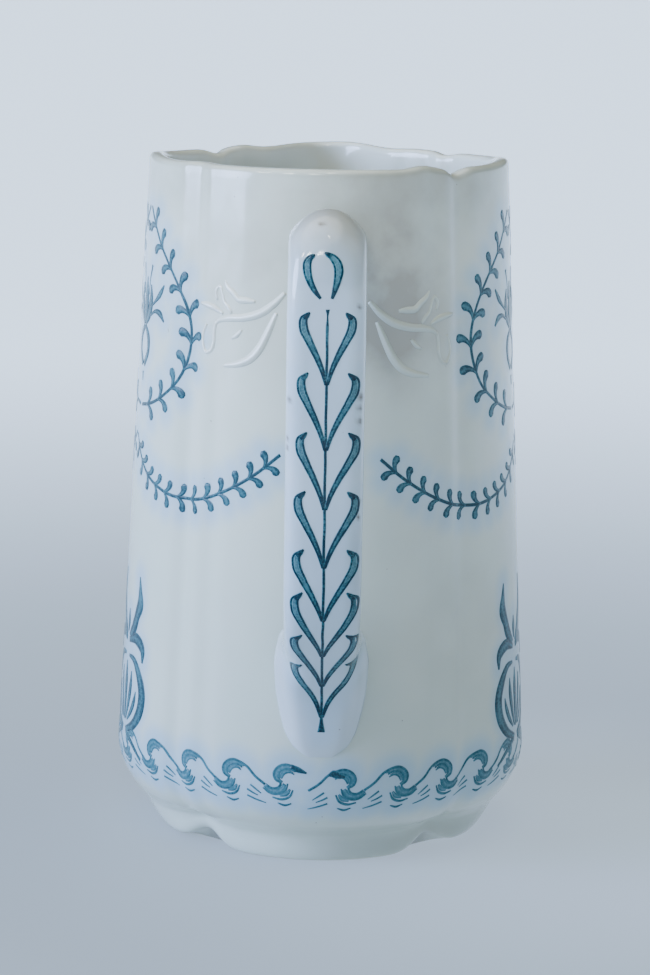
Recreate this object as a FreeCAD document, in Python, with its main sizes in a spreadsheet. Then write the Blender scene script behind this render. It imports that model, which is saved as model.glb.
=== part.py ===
"""Porcelain cream jug: a lobed, tapering body with a pulled spout, a strap handle luted on over two pads,
and a moulded scroll spray on each side of the handle.

The frame is +Z up, with the origin on the table plane, on the body's axis. The handle is towards -Y and
the spout towards +Y. All sizes are in millimetres and the slope is in degrees.
"""
import FreeCAD, Part
import math
import os

import Sketcher
from FreeCAD import Vector

SIZES = {
    # the body, from the table up
    "rim_height": 120.0,
    "rim_radius": 31.6,
    "shoulder_height": 14.0,
    "shoulder_radius": 36.6,
    "base_curve": 10.0,
    "cove_radius": 27.8,
    "foot_height": 4.1,
    "foot_radius": 28.6,
    "foot_edge": 0.8,
    "foot_inner_radius": 22.4,
    "recess_height": 2.6,
    "recess_taper": 1.6,
    "wall": 2.8,
    "floor_height": 6.4,
    "lip_rounding": 1.1,
    # the four grooves between the panels: each a flute, a dip in the rim and an arch in the foot
    "flute_angle": 45.0,
    "flute_radius": 4.0,
    "flute_depth": 0.9,
    "rim_dip_radius": 7.8,
    "rim_dip_depth": 1.1,
    "arch_radius": 12.9,
    "arch_lift": 2.4,
    "arch_start": 24.8,
    # the pulled spout
    "spout_root_height": 82.0,
    "spout_root_reach": 30.0,
    "spout_root_radius": 2.4,
    "spout_reach": 30.4,
    "spout_radius": 9.2,
    "spout_height": 121.0,
    # the strap handle, measured to the middle of its thickness
    "strap_width": 12.6,
    "strap_thickness": 6.0,
    "strap_rounding": 2.2,
    "arm_start": 29.0,
    "arm_height": 112.2,
    "top_bend": 10.5,
    "grip_reach": 57.0,
    "grip_bottom": 56.5,
    "lower_bend": 7.5,
    "lower_slope": 45.0,
    "lower_end_reach": 32.0,
    # the luting pads between the handle and the wall
    "pad_width": 16.4,
    "pad_depth": 9.6,
    "lower_pad_length": 33.0,
    "lower_pad_height": 37.2,
    "lower_pad_reach": 34.9,
    "upper_pad_length": 10.6,
    "upper_pad_height": 111.6,
    "upper_pad_reach": 31.2,
    # the moulded scroll sprays
    "relief_height": 0.6,
    "frond_width": 1.5,
}

# Each frond of the right-hand spray: its root, middle and tip, as (x, z) seen from the handle's side.
FRONDS = [
    (Vector(7.4, 97.2), Vector(12.0, 93.6), Vector(16.6, 92.2)),
    (Vector(8.2, 92.0), Vector(11.6, 87.6), Vector(17.0, 85.4)),
    (Vector(11.4, 96.4), Vector(14.6, 97.0), Vector(16.8, 100.0)),
    (Vector(17.6, 94.2), Vector(19.2, 95.8), Vector(21.2, 96.4)),
    (Vector(17.8, 91.0), Vector(20.2, 89.6), Vector(19.8, 86.6)),
]

doc = FreeCAD.newDocument("cream_jug")
jug = doc.addObject("Spreadsheet::Sheet", "jug")
UP = Vector(0, 0, 1)


def fill_sheet():
    """One row for each driving size: its name, then its value, which has the name as its alias."""
    for row, (name, value) in enumerate(SIZES.items(), start=1):
        jug.set(f"A{row}", name)
        jug.set(f"B{row}", str(value))
        jug.setAlias(f"B{row}", name)
    doc.recompute()


def number(expression):
    """The value of an expression on the sheet."""
    return float(jug.evalExpression(expression))


def origin_part(body, role):
    """One of a body's own origin planes or axes."""
    return next(item for item in body.Origin.OriginFeatures if item.Role == role)


def sketch_on(body, role, name):
    """A sketch on one of the body's origin planes."""
    sketch = body.newObject("Sketcher::SketchObject", name)
    sketch.AttachmentSupport = [(origin_part(body, role), "")]
    sketch.MapMode = "FlatFace"
    return sketch


def bind(sketch, kind, where, expression):
    """Dimension a sketch and bind the dimension to the sheet."""
    index = sketch.addConstraint(Sketcher.Constraint(kind, *where, number(expression)))
    sketch.setExpression(f"Constraints[{index}]", expression)


def place_point(sketch, point, across, up):
    """Hold a sketch point at (across, up) from the sketch's origin; zero puts it on the other axis."""
    for kind, expression, axis in (("DistanceX", across, -2), ("DistanceY", up, -1)):
        if expression == "0":
            sketch.addConstraint(Sketcher.Constraint("PointOnObject", *point, axis))
        else:
            bind(sketch, kind, (-1, 1, *point), expression)


def arc_between(start, end, radius):
    """The short arc that turns left on its way from start to end."""
    chord = end - start
    side = Vector(-chord.y, chord.x).normalize()
    centre = (start + end) * 0.5 + side * math.sqrt(radius**2 - (chord.Length / 2) ** 2)
    first, last = (math.atan2(p.y - centre.y, p.x - centre.x) for p in (start, end))
    return Part.ArcOfCircle(Part.Circle(centre, UP, radius), first, last)


def draw(sketch, corners, arcs, closed=True):
    """Draw an outline anticlockwise through corners, each an (across, up) pair of expressions.

    arcs gives the radius of each edge that is an arc, by the number of the corner it starts from.
    """
    points = [Vector(number(across), number(up)) for across, up in corners]
    count = len(points) if closed else len(points) - 1
    for index in range(count):
        start, end = points[index], points[(index + 1) % len(points)]
        if index in arcs:
            sketch.addGeometry(arc_between(start, end, number(arcs[index])))
        else:
            sketch.addGeometry(Part.LineSegment(start, end))
    for index in range(count):
        place_point(sketch, (index, 1), *corners[index])
        if index in arcs:
            bind(sketch, "Radius", (index,), arcs[index])
        if closed or index > 0:
            sketch.addConstraint(Sketcher.Constraint("Coincident", (index - 1) % count, 2, index, 1))
    if not closed:
        place_point(sketch, (count - 1, 2), *corners[-1])


def tie(item, expressions):
    """Bind properties of an object to the sheet: {property: expression}."""
    for path, expression in expressions.items():
        item.setExpression(path, expression)


def revolve(body, kind, name, sketch):
    """Turn a sketch a full turn about the vertical axis."""
    feature = body.newObject(f"PartDesign::{kind}", name)
    feature.Profile = sketch
    feature.ReferenceAxis = (sketch, ["V_Axis"])
    feature.Angle = 360


def outside_profile(body):
    """The filled outside: recess, foot, cove, rounded base, tapering wall and lip."""
    taper = "(jug.shoulder_radius - jug.rim_radius) / (jug.rim_height - jug.shoulder_height)"
    corners = [
        ("0", "jug.recess_height"),
        ("jug.foot_inner_radius - jug.recess_taper", "jug.recess_height"),
        ("jug.foot_inner_radius", "0"),
        ("jug.foot_radius - jug.foot_edge", "0"),
        ("jug.foot_radius", "jug.foot_edge"),
        ("jug.cove_radius", "jug.foot_height"),
        ("jug.shoulder_radius", "jug.shoulder_height"),
        (f"jug.rim_radius + jug.lip_rounding * {taper}", "jug.rim_height - jug.lip_rounding"),
        ("jug.rim_radius - jug.lip_rounding", "jug.rim_height"),
        ("0", "jug.rim_height"),
    ]
    sketch = sketch_on(body, "XZ_Plane", "outside_profile")
    draw(sketch, corners, {3: "jug.foot_edge", 5: "jug.base_curve", 7: "jug.lip_rounding * 1.05"})
    return sketch


def cavity_profile(body):
    """The inside, running out above the rim and the spout."""
    corners = [
        ("0", "jug.floor_height"),
        ("jug.shoulder_radius - jug.wall - jug.base_curve", "jug.floor_height"),
        ("jug.shoulder_radius - jug.wall", "jug.floor_height + jug.base_curve"),
        ("jug.rim_radius - jug.wall", "jug.rim_height"),
        ("jug.rim_radius - jug.wall", "jug.spout_height + 2"),
        ("0", "jug.spout_height + 2"),
    ]
    sketch = sketch_on(body, "XZ_Plane", "cavity_profile")
    draw(sketch, corners, {1: "jug.base_curve"})
    return sketch


def spout_loft(body, kind, name, inset):
    """The pulled spout, a round form that widens from its root in the wall to the mouth, less an inset."""
    levels = [
        ("root", f"jug.spout_root_reach - {inset} * 1.5", "jug.spout_root_radius", "jug.spout_root_height"),
        ("mouth", "jug.spout_reach", f"jug.spout_radius - {inset}", "jug.spout_height"),
    ]
    sections = []
    for label, reach, radius, height in levels:
        sketch = sketch_on(body, "XY_Plane", f"{name}_{label}")
        tie(sketch, {"AttachmentOffset.Base.z": height})
        sketch.addGeometry(Part.Circle(Vector(0, number(reach)), UP, number(radius)))
        place_point(sketch, (0, 3), "0", reach)
        bind(sketch, "Radius", (0,), radius)
        sections.append(sketch)
    loft = body.newObject(f"PartDesign::{kind}", name)
    loft.Profile = sections[0]
    loft.Sections = sections[1:]


def cutter(body, name, sizes, origin, direction):
    """A round cutter that starts at origin and runs in a direction."""
    feature = body.newObject("PartDesign::SubtractiveCylinder", name)
    tie(feature, sizes)
    feature.Placement = FreeCAD.Placement(origin, FreeCAD.Rotation(UP, direction))


def cut_groove(body, degrees):
    """One groove between two panels: its flute, its dip in the rim and its arch in the foot."""
    angle = math.radians(degrees)
    outward = Vector(math.sin(angle), -math.cos(angle), 0)
    clear = number("jug.flute_radius - jug.flute_depth")
    low = outward * (number("jug.shoulder_radius") + clear) + UP * number("jug.shoulder_height")
    high = outward * (number("jug.rim_radius") + clear) + UP * number("jug.rim_height")
    climb = (high - low).normalize()
    dip = outward * number("jug.rim_radius / 2")
    dip += UP * number("jug.rim_height + jug.rim_dip_radius - jug.rim_dip_depth")
    arch = outward * number("jug.arch_start") + UP * number("jug.arch_lift - jug.arch_radius")
    cutter(body, "flute", {"Radius": "jug.flute_radius", "Height": "jug.rim_height + 20"},
           low - climb * number("jug.shoulder_height + 4"), climb)
    cutter(body, "rim_dip", {"Radius": "jug.rim_dip_radius", "Height": "jug.rim_radius"}, dip, outward)
    cutter(body, "foot_arch", {"Radius": "jug.arch_radius", "Height": "jug.foot_radius"}, arch, outward)


def make_body():
    """The cast body: its outside, spout, cavity, spout channel and four grooves."""
    body = doc.addObject("PartDesign::Body", "jug_body")
    revolve(body, "Revolution", "outside", outside_profile(body))
    spout_loft(body, "AdditiveLoft", "spout", "0")
    revolve(body, "Groove", "cavity", cavity_profile(body))
    spout_loft(body, "SubtractiveLoft", "spout_channel", "jug.wall")
    for quarter in range(4):
        cut_groove(body, number("jug.flute_angle") + 90 * quarter)
    return body


def make_strap():
    """The handle's strap before it is trimmed to the wall: out, over the top, down and back in."""
    body = doc.addObject("PartDesign::Body", "strap")
    slope = "jug.lower_slope * 1 deg"
    turned_reach = f"jug.grip_reach - jug.lower_bend * (1 - cos({slope}))"
    turned_height = f"jug.grip_bottom - jug.lower_bend * sin({slope})"
    path = sketch_on(body, "YZ_Plane", "strap_path")
    draw(path, [
        ("-jug.arm_start", "jug.arm_height"),
        ("-(jug.grip_reach - jug.top_bend)", "jug.arm_height"),
        ("-jug.grip_reach", "jug.arm_height - jug.top_bend"),
        ("-jug.grip_reach", "jug.grip_bottom"),
        (f"-({turned_reach})", turned_height),
        ("-jug.lower_end_reach", f"{turned_height} - ({turned_reach} - jug.lower_end_reach) / tan({slope})"),
    ], {1: "jug.top_bend", 3: "jug.lower_bend"}, closed=False)
    section = sketch_on(body, "XZ_Plane", "strap_section")
    tie(section, {"AttachmentOffset.Base.z": "jug.arm_start"})
    draw(section, rounded_corners("jug.strap_width / 2", "jug.strap_thickness / 2", "jug.strap_rounding",
                                  "jug.arm_height"), {edge: "jug.strap_rounding" for edge in (1, 3, 5, 7)})
    pipe = body.newObject("PartDesign::AdditivePipe", "strap_sweep")
    pipe.Profile = section
    pipe.Spine = path
    body.Tip = pipe
    return body


def rounded_corners(half_width, half_height, rounding, level):
    """The corners of a rounded rectangle about (0, level), anticlockwise from its bottom edge."""
    outer, inner = half_width, f"({half_width} - {rounding})"
    top, near_top = half_height, f"({half_height} - {rounding})"
    return [
        (f"-{inner}", f"{level} - {top}"), (inner, f"{level} - {top}"),
        (outer, f"{level} - {near_top}"), (outer, f"{level} + {near_top}"),
        (inner, f"{level} + {top}"), (f"-{inner}", f"{level} + {top}"),
        (f"-{outer}", f"{level} + {near_top}"), (f"-{outer}", f"{level} - {near_top}"),
    ]


def wall_cone(name, proud):
    """The wall's tapering outside as a solid cone, standing proud of it by a height."""
    cone = doc.addObject("Part::Cone", name)
    tie(cone, {
        "Radius1": f"jug.shoulder_radius + {proud}",
        "Radius2": f"jug.rim_radius + {proud}",
        "Height": "jug.rim_height - jug.shoulder_height",
        "Placement.Base.z": "jug.shoulder_height",
    })
    return cone


def combine(kind, name, base, tool):
    """A Part boolean of two objects."""
    result = doc.addObject(f"Part::{kind}", name)
    result.Base = base
    result.Tool = tool
    return result


def make_pad(which, strap, wall):
    """A luting pad: an ellipsoid of slip on the wall, trimmed to the wall and to the strap it holds."""
    blob = doc.addObject("Part::Ellipsoid", f"{which}_pad_blob")
    tie(blob, {
        "Radius1": f"jug.{which}_pad_length / 2",
        "Radius2": "jug.pad_width / 2",
        "Radius3": "jug.pad_depth / 2",
        "Placement.Base.y": f"-jug.{which}_pad_reach",
        "Placement.Base.z": f"jug.{which}_pad_height",
    })
    trimmed = combine("Cut", f"{which}_pad_on_wall", blob, wall)
    return combine("Cut", f"{which}_luting_pad", trimmed, strap)


def make_spray():
    """The right-hand scroll spray: crescent fronds, raised a little from the wall."""
    sketch = doc.addObject("Sketcher::SketchObject", "spray_outlines")
    sketch.Placement = FreeCAD.Placement(Vector(0, 0, 0), FreeCAD.Rotation(Vector(1, 0, 0), 90))
    half = number("jug.frond_width / 2")
    for root, middle, tip in FRONDS:
        across = Vector(-(tip - root).y, (tip - root).x).normalize() * half
        for offset in (across, -across):
            edge = sketch.addGeometry(Part.Arc(root, middle + offset, tip))
            sketch.addConstraint(Sketcher.Constraint("Block", edge))
    plate = doc.addObject("Part::Extrusion", "spray_plate")
    plate.Base = sketch
    plate.DirMode = "Normal"
    plate.Solid = True
    tie(plate, {"LengthFwd": "jug.grip_reach"})
    skin = combine("Cut", "spray_skin", wall_cone("raised_wall", "jug.relief_height"), wall_cone("bare_wall", "0"))
    return combine("Common", "relief_scroll_right", plate, skin)


def mirrored(source, name):
    """The same piece on the other side of the handle."""
    result = doc.addObject("Part::Mirroring", name)
    result.Source = source
    result.Normal = Vector(1, 0, 0)
    return result


def export(pieces):
    """Write each piece to a file of its own, once every object in the document has built cleanly."""
    doc.recompute()
    for item in doc.Objects:
        if "Invalid" in item.State or "Error" in item.State:
            raise RuntimeError(f"{item.Label} did not build: {item.State}")
    os.makedirs("parts", exist_ok=True)
    for piece in pieces:
        if piece.Shape.isNull() or not piece.Shape.isValid():
            raise RuntimeError(f"{piece.Label} has no valid shape")
        piece.Shape.exportStep(f"parts/{piece.Label}.step")
        box = piece.Shape.optimalBoundingBox(False, False)
        low, high = (box.XMin, box.YMin, box.ZMin), (box.XMax, box.YMax, box.ZMax)
        print(piece.Label, len(piece.Shape.Solids), round(piece.Shape.Volume),
              [round(value, 2) for value in low], [round(value, 2) for value in high])


fill_sheet()
body = make_body()
strap = make_strap()
wall = wall_cone("wall_solid", "0")
handle = combine("Cut", "handle", strap, wall)
pads = [make_pad(which, strap, wall) for which in ("upper", "lower")]
right_spray = make_spray()
left_spray = mirrored(right_spray, "relief_scroll_left")
export([body, handle, *pads, right_spray, left_spray])
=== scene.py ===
"""The looks of the porcelain cream jug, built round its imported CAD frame.

Lengths in this script are in millimetres until a mesh is made. A point on the wall is given by its angle
round the body, from the handle (-Y) towards +X, and its height above the table. A point on the handle is
given by its run along the outer face from the highest point, and its distance from the middle.
"""

import math
import random

import bpy
import numpy as np
from mathutils import Matrix
from mathutils.kdtree import KDTree

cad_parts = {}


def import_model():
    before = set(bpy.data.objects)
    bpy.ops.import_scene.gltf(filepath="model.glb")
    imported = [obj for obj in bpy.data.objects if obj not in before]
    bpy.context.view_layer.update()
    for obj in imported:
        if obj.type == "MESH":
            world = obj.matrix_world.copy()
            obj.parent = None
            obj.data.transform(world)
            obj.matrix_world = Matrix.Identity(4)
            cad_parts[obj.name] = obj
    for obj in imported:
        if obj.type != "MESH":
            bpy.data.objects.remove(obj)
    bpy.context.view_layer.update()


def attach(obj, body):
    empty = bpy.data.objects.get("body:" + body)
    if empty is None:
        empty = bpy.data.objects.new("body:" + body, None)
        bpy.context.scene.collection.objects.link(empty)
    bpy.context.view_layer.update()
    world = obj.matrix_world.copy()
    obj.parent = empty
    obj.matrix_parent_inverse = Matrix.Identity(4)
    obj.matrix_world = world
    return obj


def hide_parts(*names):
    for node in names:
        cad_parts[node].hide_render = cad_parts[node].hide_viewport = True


MM = 0.001

# ---- the body's section -----------------------------------------------------------------------------
# Its outside from the standing ring to the shoulder, as (radius, height).
BASE_OUTLINE = [
    (27.7, 0.0), (28.3, 0.25), (28.7, 0.9), (28.8, 2.0), (28.7, 3.2), (28.9, 4.3), (29.8, 5.3),
    (31.4, 6.4), (33.3, 7.8), (34.9, 9.6), (35.9, 11.6), (36.4, 13.4), (36.6, 15.4),
]
UNDERSIDE = [(6.0, 2.6), (14.0, 2.6), (21.2, 2.6), (22.0, 2.2), (22.4, 0.6), (22.8, 0.05), (25.2, 0.0)]
RIM_RADIUS = 31.6
RIM_HEIGHT = 120.0
WALL = 2.8
# The lip from the outside edge over to the inside, as (shift in radius, height from the rim).
LIP_DROP = 1.1
LIP = [(0.0, -LIP_DROP), (-0.08, -0.7), (-0.32, -0.32), (-0.7, -0.08), (-1.1, 0.0), (-1.7, 0.0)]
LIP += [(-2.1, -0.08), (-2.48, -0.32), (-2.72, -0.7), (-WALL, -LIP_DROP)]
INSIDE_BASE = [(33.7, 16.0), (33.3, 12.6), (31.6, 9.4), (28.0, 7.3), (22.0, 6.5), (12.0, 6.4), (4.0, 6.4)]
COLUMNS = 384
CONE_ROWS = 112
INNER_ROWS = 44

# ---- panels, grooves, rim and foot: angles and widths in degrees, depths in millimetres ----------------
LOBE_DEPTH = 0.8
GROOVES = [(angle * side, depth, width) for side in (-1, 1) for angle, depth, width in
           ((46, 0.85, 4.0), (35, 0.3, 3.5), (134, 0.85, 4.0), (145, 0.3, 3.5))]
RIM_WAVES = [(46, -1.15, 4.5), (32, 0.55, 5.5), (-50, 0.25, 9.0), (132, -0.5, 4.5), (147, 0.2, 7.0),
             (-134, -0.85, 4.5), (-147, 0.45, 6.0), (-88, 0.7, 17.0), (88, 0.55, 17.0)]
RIM_WAVE_ROOT = 104
FOOT_NOTCHES = [45, 135, -135, -47]
NOTCH_LIFT = 2.5
NOTCH_WIDTH = 9.5
NOTCH_TOP = 8
FOOT_EDGE = 25.0
PINCH = 1.0
PINCH_WIDTH = 9
# The foot's swell at both sides: its depth, its width in degrees, its height and its spread.
SIDE_FLARE = 2.5
FLARE_WIDTH = 30
FLARE_HEIGHT = 4.4
FLARE_SPREAD = 2.9
SPOUT_REACH = 7.9
SPOUT_HALF_ANGLE = 25.0
SPOUT_ROOT = 80.0
# The spout's lip rises in two unequal lobes: (angle, rise, width).
SPOUT_LOBES = [(174, 0.5, 9), (-172, 0.3, 9)]


def smooth(share):
    """0 below 0, 1 above 1, and an even ramp between."""
    share = np.clip(share, 0, 1)
    return share * share * (3 - 2 * share)


def run_lengths(points):
    """How far along the line each point lies."""
    steps = np.linalg.norm(np.diff(points, axis=0), axis=1)
    return np.concatenate([[0], np.cumsum(steps)])


def spline(points, step):
    """Points a step apart on a smooth curve through the given ones. Columns after the second ride along."""
    points = np.asarray(points, float)
    knots = run_lengths(points[:, :2])
    slopes = np.gradient(points, knots, axis=0)
    fine = np.linspace(0, knots[-1], 16 * len(points))
    span = np.clip(np.searchsorted(knots, fine, side="right") - 1, 0, len(knots) - 2)
    length = (knots[span + 1] - knots[span])[:, None]
    t = (fine - knots[span])[:, None] / length
    start = (1 + 2 * t) * (1 - t) ** 2 * points[span] + t * (1 - t) ** 2 * length * slopes[span]
    end = t * t * (3 - 2 * t) * points[span + 1] + t * t * (t - 1) * length * slopes[span + 1]
    curve = start + end
    lengths = run_lengths(curve[:, :2])
    even = np.linspace(0, lengths[-1], max(3, round(lengths[-1] / step) + 1))
    return np.stack([np.interp(even, lengths, column) for column in curve.T], axis=1)


OUTLINE = np.vstack([spline(BASE_OUTLINE, 0.4), [(RIM_RADIUS, RIM_HEIGHT)]])


def outer_radius(height):
    """The body's plain radius at a height."""
    return np.interp(height, OUTLINE[:, 1], OUTLINE[:, 0])


def bell(theta, centre, width):
    """1 at the centre angle, falling away on both sides."""
    off = (np.degrees(theta) - centre + 180) % 360 - 180
    return np.exp(-(off / width) ** 2)


def spout_share(theta):
    """1 in the middle of the spout, 0 outside it, with a soft crease down the middle."""
    off = np.abs((np.degrees(theta) + 360) % 360 - 180) / SPOUT_HALF_ANGLE
    soft = np.sqrt(off * off + 0.006) - 0.06
    return smooth(1 - soft) ** 1.15


def radial_shift(theta, height):
    """How far the wall stands out from its plain radius."""
    lobes = LOBE_DEPTH * (1 - np.cos(4 * theta)) / 2
    grooves = sum(depth * bell(theta, centre, width) for centre, depth, width in GROOVES)
    pinch = PINCH * sum(bell(theta, centre, PINCH_WIDTH) for centre in FOOT_NOTCHES)
    sides = bell(theta, 90, FLARE_WIDTH) + bell(theta, -90, FLARE_WIDTH)
    flare = SIDE_FLARE * sides * np.exp(-((height - FLARE_HEIGHT) / FLARE_SPREAD) ** 2)
    up = smooth((height - 2.5) / 5)
    pull = SPOUT_REACH * spout_share(theta) * smooth((height - SPOUT_ROOT) / 40) ** 1.6
    return pull + flare - lobes - grooves * up - pinch * (1 - up)


def height_shift(theta, radius, height):
    """How far the rim's waves, the spout's lip and the foot's notches move a point up."""
    waves = sum(rise * bell(theta, centre, width) for centre, rise, width in RIM_WAVES + SPOUT_LOBES)
    notch = NOTCH_LIFT * sum(bell(theta, centre, NOTCH_WIDTH) for centre in FOOT_NOTCHES)
    outside = smooth((radius - FOOT_EDGE) / 2.4)
    near_rim = smooth((height - RIM_WAVE_ROOT) / (RIM_HEIGHT - RIM_WAVE_ROOT))
    return waves * near_rim + notch * outside * (1 - smooth(height / NOTCH_TOP))


def section_rows():
    """(radius, height, share of the outside's panels and grooves, 1 inside) round the whole section."""
    underside = [(r, z, (r / 28) ** 3, 0.0) for r, z in UNDERSIDE]
    outside = [(r, z, 1.0, 0.0) for r, z in OUTLINE[:-1]]
    cone = np.linspace(BASE_OUTLINE[-1][1], RIM_HEIGHT - LIP_DROP, CONE_ROWS)[1:-1]
    outside += [(float(outer_radius(z)), z, 1.0, 0.0) for z in cone]
    edge = float(outer_radius(RIM_HEIGHT - LIP_DROP))
    lip = [(edge + across, RIM_HEIGHT + up, 1.0, -across / WALL) for across, up in LIP]
    inner_heights = np.linspace(116.5, 19, INNER_ROWS)
    inner = [(float(outer_radius(z)) - WALL, z, 1.0, 1.0) for z in inner_heights]
    base = [(r, z, (r / 34) ** 3, 1.0) for r, z in spline(INSIDE_BASE, 1.3)]
    return np.array(underside + outside + lip + inner + base)


def wall(theta, height, proud=0.0):
    """Points on the outside of the body, in millimetres."""
    theta = np.asarray(theta, float)
    height = np.asarray(height, float)
    radius = outer_radius(height)
    up = height + height_shift(theta, radius, height)
    reach = radius + radial_shift(theta, height) + proud
    return np.stack([reach * np.sin(theta), -reach * np.cos(theta), up], axis=-1)


# ---- meshes -------------------------------------------------------------------------------------------
def make_mesh(name, points, faces, material):
    """A smooth-shaded mesh object from points in millimetres."""
    mesh = bpy.data.meshes.new(name)
    mesh.from_pydata((np.asarray(points) * MM).tolist(), [], faces)
    mesh.shade_smooth()
    mesh.materials.append(material)
    piece = bpy.data.objects.new(name, mesh)
    bpy.context.scene.collection.objects.link(piece)
    return piece


def ring_faces(rows, columns, start=0):
    """Quads between successive rings of points."""
    faces = []
    for row in range(rows - 1):
        low = start + row * columns
        high = low + columns
        for column in range(columns):
            after = (column + 1) % columns
            faces.append((low + column, low + after, high + after, high + column))
    return faces


def set_tint(piece, tint):
    """Keeps the halo, the stains and painted shade, the dirt and painted shade, and the inside share, which
    also paints light, of every vertex with the mesh.
    """
    layer = piece.data.color_attributes.new("tint", "FLOAT_COLOR", "POINT")
    layer.data.foreach_set("color", np.asarray(tint, np.float32).ravel())


def body_points():
    """The body's points, ring by ring, then the middle of the underside and of the floor."""
    rows = section_rows()
    theta = np.linspace(0, 2 * math.pi, COLUMNS, endpoint=False)
    radius = rows[:, :1]
    angle = theta[None, :]
    height = rows[:, 1:2] + 0 * angle
    reach = radius + radial_shift(angle, height) * rows[:, 2:3]
    up = height + height_shift(angle, radius, height) * rows[:, 2:3]
    grid = np.stack([reach * np.sin(angle), -reach * np.cos(angle), up], axis=-1)
    middles = [(0, 0, UNDERSIDE[0][1]), (0, 0, INSIDE_BASE[-1][1])]
    return np.vstack([grid.reshape(-1, 3), middles]), len(rows)


def build_body(material):
    """The jug's body as one closed shell, rounded at the lip and recessed underneath."""
    points, rows = body_points()
    faces = ring_faces(rows, COLUMNS)
    under = rows * COLUMNS
    last = (rows - 1) * COLUMNS
    for column in range(COLUMNS):
        after = (column + 1) % COLUMNS
        faces.append((under, after, column))
        faces.append((under + 1, last + column, last + after))
    return make_mesh("jug_body", points, faces, material)


# ---- the handle ---------------------------------------------------------------------------------------
# Its outer face from the wall over the top, down the grip and onto the wall again, as (reach, height).
HANDLE_FACE = [
    (29.6, 113.2), (34.0, 113.4), (40.0, 114.2), (46.0, 114.8), (51.0, 115.1), (55.2, 113.5), (58.3, 109.6),
    (59.7, 105.0), (60.0, 99.0), (60.0, 80.0), (60.0, 60.0), (59.2, 54.0), (56.5, 48.0), (50.5, 41.5),
    (44.5, 36.0), (40.3, 31.5), (38.6, 27.5), (37.6, 23.5), (36.2, 20.4),
]
# Half sections, from the middle of the face round to the middle of the back, as (across, depth).
STRAP_ARM = [(0, 0), (1.8, 0.26), (3.4, 0.98), (4.75, 2.05), (5.75, 3.25), (6.25, 4.3), (6.1, 5.1),
             (5.2, 5.8), (3.4, 6.05), (0, 6.1)]
STRAP_GRIP = [(0, 0), (2.4, 0.07), (4.4, 0.3), (5.35, 0.75), (6.0, 1.7), (6.3, 2.9), (6.2, 4.2),
              (5.4, 5.5), (3.6, 6.0), (0, 6.1)]
PAD = [(0, 0), (0.34, 0.02), (0.58, 0.1), (0.74, 0.3), (0.87, 0.6), (1.0, 1.0), (0.98, 1.12),
       (0.8, 1.22), (0.5, 1.24), (0, 1.24)]
HALF = 26
FACE = spline(HANDLE_FACE, 0.45)
FACE_RUN = run_lengths(FACE)
APEX_RUN = FACE_RUN[np.argmax(FACE[:, 1])]


def half_section(outline, across=1.0, depth=1.0):
    """An outline, scaled and spread into HALF points, each keeping its share of the way round."""
    scaled = np.asarray(outline, float) * (across, depth)
    curve = spline(scaled, 0.05)
    share = run_lengths(curve) / run_lengths(curve)[-1]
    return np.stack([np.interp(np.linspace(0, 1, HALF), share, column) for column in curve.T], axis=1)


# Where along the face each section stands, by its run from the highest point. Below the grip it spreads
# into the pad.
STATIONS = [
    (-30.0, STRAP_ARM, 1.1, 1.3), (-20.0, STRAP_ARM, 1.0, 1.0), (-10.0, STRAP_ARM, 1.0, 1.0),
    (4.0, STRAP_ARM, 1.0, 1.0), (18.0, STRAP_GRIP, 1.0, 1.0), (45.0, STRAP_GRIP, 1.0, 1.0),
    (74.0, STRAP_GRIP, 1.0, 1.0), (82.0, STRAP_GRIP, 1.0, 1.06), (89.0, PAD, 7.4, 7.0),
    (93.5, PAD, 8.0, 5.6), (98.0, PAD, 7.6, 3.9), (102.0, PAD, 6.6, 2.7), (105.0, PAD, 5.6, 1.9),
    (107.0, PAD, 4.4, 1.3), (108.6, PAD, 2.6, 0.8), (109.6, PAD, 0.6, 0.4),
]
STATION_RUNS = np.array([station[0] for station in STATIONS])
STATION_SHAPES = np.array([half_section(*station[1:]) for station in STATIONS])
STATION_SLOPES = np.gradient(STATION_SHAPES, STATION_RUNS, axis=0)


def section_at(run):
    """The half section at a run from the highest point, carried smoothly from station to station."""
    index = int(np.clip(np.searchsorted(STATION_RUNS, run) - 1, 0, len(STATIONS) - 2))
    length = STATION_RUNS[index + 1] - STATION_RUNS[index]
    t = float(np.clip((run - STATION_RUNS[index]) / length, 0, 1))
    shape = STATION_SHAPES[index:index + 2]
    slope = STATION_SLOPES[index:index + 2] * length
    start = (1 + 2 * t) * (1 - t) ** 2 * shape[0] + t * (1 - t) ** 2 * slope[0]
    return start + t * t * (3 - 2 * t) * shape[1] + t * t * (t - 1) * slope[1]


def face_frame(run):
    """The face's point and outward direction, each as (reach, height), at a run from the highest point."""
    runs = FACE_RUN - APEX_RUN
    point = np.array([np.interp(run, runs, column) for column in FACE.T])
    ahead = np.array([np.interp(run + 0.6, runs, column) for column in FACE.T])
    behind = np.array([np.interp(run - 0.6, runs, column) for column in FACE.T])
    along = (ahead - behind) / np.linalg.norm(ahead - behind)
    return point, np.array([-along[1], along[0]])


def handle_point(run, across, depth):
    """A point at a depth below the face, in millimetres."""
    point, outward = face_frame(run)
    reach, height = point - outward * depth
    return across, -reach, height


def on_handle(across, run, proud):
    """A point on the handle's face, or standing proud of it."""
    half = section_at(run)[: HALF // 2]
    depth = np.interp(abs(across), half[:, 0], half[:, 1])
    return handle_point(run, across, depth - proud)


def handle_ring(run):
    """The whole section at a run, as a ring of points."""
    half = section_at(run)
    other = [(-across, depth) for across, depth in half[-2:0:-1]]
    return [handle_point(run, across, depth) for across, depth in [*half, *other]]


STRAP_STEP = 0.45
# The runs at which the upper pad gives way to the strap and the strap to the lower pad.
ARM_START = -14.0
PAD_START = 84.0


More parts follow.
